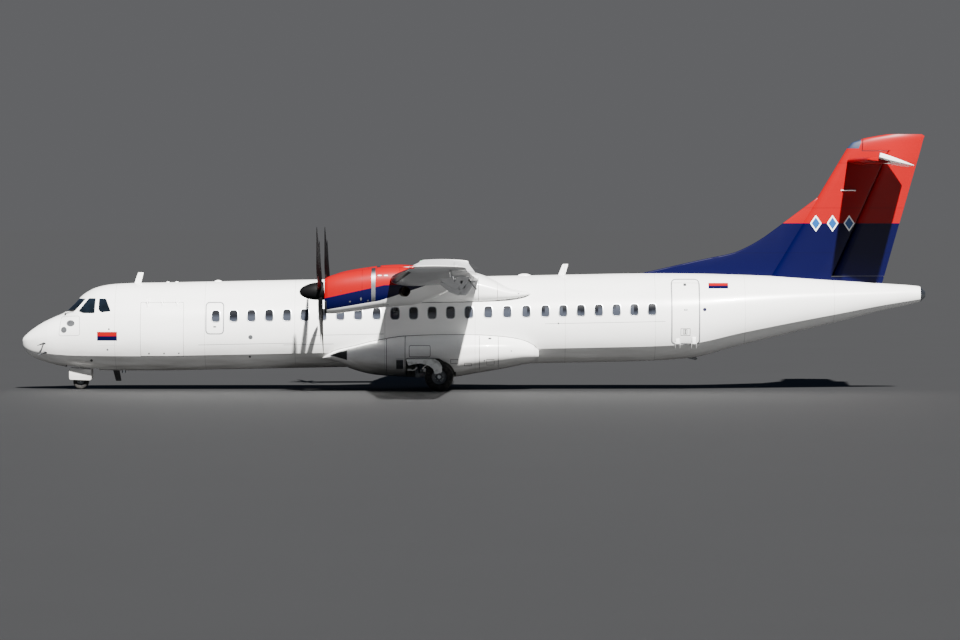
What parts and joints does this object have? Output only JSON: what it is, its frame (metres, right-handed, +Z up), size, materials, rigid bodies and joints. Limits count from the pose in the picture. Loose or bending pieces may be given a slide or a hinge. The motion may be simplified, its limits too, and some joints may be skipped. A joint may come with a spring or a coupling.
{
  "type": "twin turboprop airliner",
  "caption": "High-wing regional airliner with turning propellers and wheels, nose steering, opening doors and moving flaps, ailerons, elevators and rudder.",
  "frame": {"origin": "on the ground, under the middle of the aircraft's length and span", "axes": "+X towards the tail, -Y towards the left wing tip, +Z up; the nose points towards -X"},
  "size_m": [27.157, 27.05, 7.66],
  "materials": {
    "white_paint": "gloss",
    "red_paint": "gloss",
    "blue_paint": "gloss",
    "grey_paint": "satin",
    "radome_paint": "gloss",
    "blade_composite": "satin",
    "bare_metal": "brushed",
    "engine_metal": "rough",
    "tyre_rubber": "matte",
    "cockpit_glass": "polished"
  },
  "bodies": {
    "airframe": {"radome": "radome_paint", "fuselage_front": "white_paint", "fuselage_centre": "white_paint", "fuselage_rear": "white_paint", "tail_cone": "bare_metal", "cockpit_glazing": "cockpit_glass", "service_door": "white_paint", "exit_left": "white_paint", "exit_right": "white_paint", "wing_centre": "grey_paint", "wing_left": "grey_paint", "wing_right": "grey_paint", "wing_fairing": "white_paint", "gear_fairing": "white_paint", "fin": "blue_paint", "dorsal_fin": "blue_paint", "tailplane": "red_paint", "nacelle_left": "red_paint", "nacelle_right": "red_paint", "engine_left": "engine_metal", "engine_right": "engine_metal", "main_leg_left": "white_paint", "main_leg_right": "white_paint", "trailing_arm_left": "white_paint", "trailing_arm_right": "white_paint", "leg_door_left": "white_paint", "leg_door_right": "white_paint", "nose_leg": "white_paint", "nose_drag_brace": "white_paint", "nose_door_left": "white_paint", "nose_door_right": "white_paint"},
    "nose_fork": {"nose_fork": "bare_metal"},
    "nose_wheels": {"nose_rims": "bare_metal", "nose_tyre_left": "tyre_rubber", "nose_tyre_right": "tyre_rubber"},
    "main_wheels_left": {"main_rims_left": "bare_metal", "main_tyre_left_outer": "tyre_rubber", "main_tyre_left_inner": "tyre_rubber"},
    "main_wheels_right": {"main_rims_right": "bare_metal", "main_tyre_right_inner": "tyre_rubber", "main_tyre_right_outer": "tyre_rubber"},
    "propeller_left": {"propeller_left": "blade_composite", "spinner_left": "blade_composite"},
    "propeller_right": {"propeller_right": "blade_composite", "spinner_right": "blade_composite"},
    "passenger_door": {"passenger_door": "white_paint"},
    "cargo_door": {"cargo_door": "white_paint"},
    "flap_inner_left": {"flap_inner_left": "grey_paint"},
    "flap_inner_right": {"flap_inner_right": "grey_paint"},
    "flap_outer_left": {"flap_outer_left": "grey_paint"},
    "flap_outer_right": {"flap_outer_right": "grey_paint"},
    "aileron_left": {"aileron_left": "grey_paint"},
    "aileron_right": {"aileron_right": "grey_paint"},
    "rudder": {"rudder": "red_paint"},
    "elevator_left": {"elevator_left": "red_paint"},
    "elevator_right": {"elevator_right": "red_paint"}
  },
  "joints": [
    {"name": "nose_steering", "type": "hinge", "parent": "airframe", "child": "nose_fork", "pos_m": [-11.8125, 0, 0.5], "axis": [0, 0, 1], "range_deg": [-60, 60]},
    {"name": "nose_wheel_spin", "type": "hinge", "parent": "nose_fork", "child": "nose_wheels", "pos_m": [-11.8125, 0, 0.22223], "axis": [0, 1, 0], "continuous": true},
    {"name": "main_wheel_spin_left", "type": "hinge", "parent": "airframe", "child": "main_wheels_left", "pos_m": [-1.0235, -2.05, 0.42569], "axis": [0, 1, 0], "continuous": true},
    {"name": "main_wheel_spin_right", "type": "hinge", "parent": "airframe", "child": "main_wheels_right", "pos_m": [-1.0235, 2.05, 0.42569], "axis": [0, 1, 0], "continuous": true},
    {"name": "propeller_spin_left", "type": "hinge", "parent": "airframe", "child": "propeller_left", "pos_m": [-4.5085, -4.05, 2.992], "axis": [0.999, 0, 0.0436], "continuous": true},
    {"name": "propeller_spin_right", "type": "hinge", "parent": "airframe", "child": "propeller_right", "pos_m": [-4.5085, 4.05, 2.992], "axis": [0.999, 0, 0.0436], "continuous": true},
    {"name": "passenger_door_hinge", "type": "hinge", "parent": "airframe", "child": "passenger_door", "pos_m": [6.3265, -1.275, 1.393], "axis": [1, 0, 0], "range_deg": [0, 140]},
    {"name": "cargo_door_hinge", "type": "hinge", "parent": "airframe", "child": "cargo_door", "pos_m": [-9.301, -1.18, 2.629], "axis": [-1, 0, 0], "range_deg": [0, 110]},
    {"name": "flap_inner_left_hinge", "type": "hinge", "parent": "airframe", "child": "flap_inner_left", "pos_m": [-0.4538, -1.64, 2.9307], "axis": [0, 1, 0], "range_deg": [0, 35]},
    {"name": "flap_inner_right_hinge", "type": "hinge", "parent": "airframe", "child": "flap_inner_right", "pos_m": [-0.4538, 1.64, 2.9307], "axis": [0, 1, 0], "range_deg": [0, 35]},
    {"name": "flap_outer_left_hinge", "type": "hinge", "parent": "airframe", "child": "flap_outer_left", "pos_m": [-0.4543, -4.64, 2.933], "axis": [0.0119, 0.9983, -0.0563], "range_deg": [0, 35]},
    {"name": "flap_outer_right_hinge", "type": "hinge", "parent": "airframe", "child": "flap_outer_right", "pos_m": [-0.4543, 4.64, 2.933], "axis": [-0.0119, 0.9983, 0.0563], "range_deg": [0, 35]},
    {"name": "aileron_left_hinge", "type": "hinge", "parent": "airframe", "child": "aileron_left", "pos_m": [-0.5733, -9.92, 3.566], "axis": [0.0088, 0.9992, -0.0378], "range_deg": [-14, 14]},
    {"name": "aileron_right_hinge", "type": "hinge", "parent": "airframe", "child": "aileron_right", "pos_m": [-0.5733, 9.92, 3.566], "axis": [-0.0088, 0.9992, 0.0378], "range_deg": [-14, 14]},
    {"name": "rudder_hinge", "type": "hinge", "parent": "airframe", "child": "rudder", "pos_m": [10.9215, 0, 3.4], "axis": [0.3956, 0, 0.9184], "range_deg": [-27, 27]},
    {"name": "elevator_left_hinge", "type": "hinge", "parent": "airframe", "child": "elevator_left", "pos_m": [12.3515, -0.5, 6.855], "axis": [0, -1, 0], "range_deg": [0, 39]},
    {"name": "elevator_right_hinge", "type": "hinge", "parent": "airframe", "child": "elevator_right", "pos_m": [12.3515, 0.5, 6.855], "axis": [0, -1, 0], "range_deg": [0, 39]}
  ],
  "couplings": [
    {"joint": "flap_inner_right_hinge", "follows": "flap_inner_left_hinge", "ratio": 1},
    {"joint": "flap_outer_left_hinge", "follows": "flap_inner_left_hinge", "ratio": 1},
    {"joint": "flap_outer_right_hinge", "follows": "flap_inner_left_hinge", "ratio": 1},
    {"joint": "aileron_right_hinge", "follows": "aileron_left_hinge", "ratio": -1},
    {"joint": "elevator_right_hinge", "follows": "elevator_left_hinge", "ratio": 1}
  ]
}
